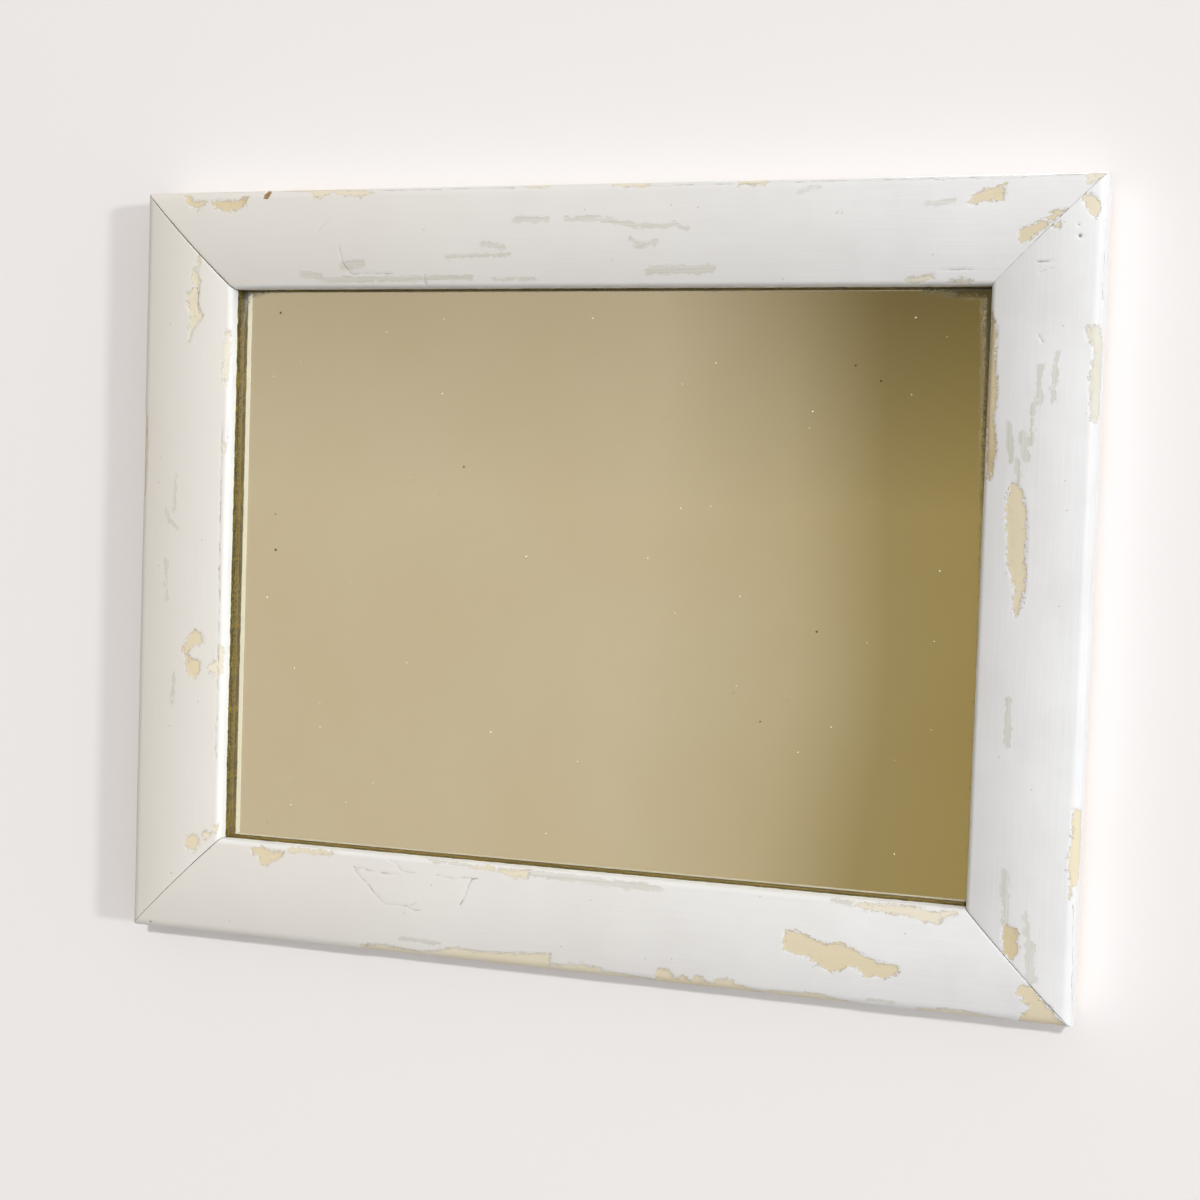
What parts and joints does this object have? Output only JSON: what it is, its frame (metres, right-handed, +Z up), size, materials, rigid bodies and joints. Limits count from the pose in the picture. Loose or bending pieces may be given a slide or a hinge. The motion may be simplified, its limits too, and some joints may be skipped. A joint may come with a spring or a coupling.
{
  "type": "wall mirror",
  "caption": "Wall mirror: aged silvered glass in a mitred wooden frame with a rounded, chipped white-painted moulding, backed by a board and hung from swinging strap rings.",
  "frame": {"origin": "middle of the plane of the rails' backs, where the frame lies on the wall", "axes": "+X to the right as the mirror is looked at, +Z up the wall, +Y into the wall, so the mirror looks along -Y"},
  "size_m": [0.496, 0.03, 0.394],
  "materials": {
    "painted_wood": "old white paint, chipped to a cream undercoat; bare wood behind",
    "glass": "polished flat glass",
    "silvering": "aged, warm-toned silvering",
    "card": "grey-brown packing card",
    "backing": "aged bare board",
    "bright_steel": "dulled steel wire and strip",
    "plated_steel": "dulled plating"
  },
  "bodies": {
    "frame": {"top_rail": "painted_wood", "bottom_rail": "painted_wood", "left_rail": "painted_wood", "right_rail": "painted_wood", "mirror_glass": "glass", "silver_coat": "silvering", "packing_card": "card", "backing_board": "backing", "top_brads": "bright_steel", "bottom_brads": "bright_steel", "left_brads": "bright_steel", "right_brads": "bright_steel", "top_left_nails": "bright_steel", "top_left_fasteners": "bright_steel", "top_right_nails": "bright_steel", "top_right_fasteners": "bright_steel", "bottom_left_nails": "bright_steel", "bottom_left_fasteners": "bright_steel", "bottom_right_nails": "bright_steel", "bottom_right_fasteners": "bright_steel", "left_hanger_strap": "plated_steel", "left_hanger_screws": "plated_steel", "right_hanger_strap": "plated_steel", "right_hanger_screws": "plated_steel"},
    "left_d_ring": {"left_d_ring": "plated_steel"},
    "right_d_ring": {"right_d_ring": "plated_steel"}
  },
  "joints": [
    {"name": "left_ring_swing", "type": "hinge", "parent": "frame", "child": "left_d_ring", "pos_m": [-0.226, 0.0023, 0.07], "axis": [-1, 0, 0], "range_deg": [0, 178]},
    {"name": "right_ring_swing", "type": "hinge", "parent": "frame", "child": "right_d_ring", "pos_m": [0.226, 0.0023, 0.07], "axis": [-1, 0, 0], "range_deg": [0, 178]}
  ]
}
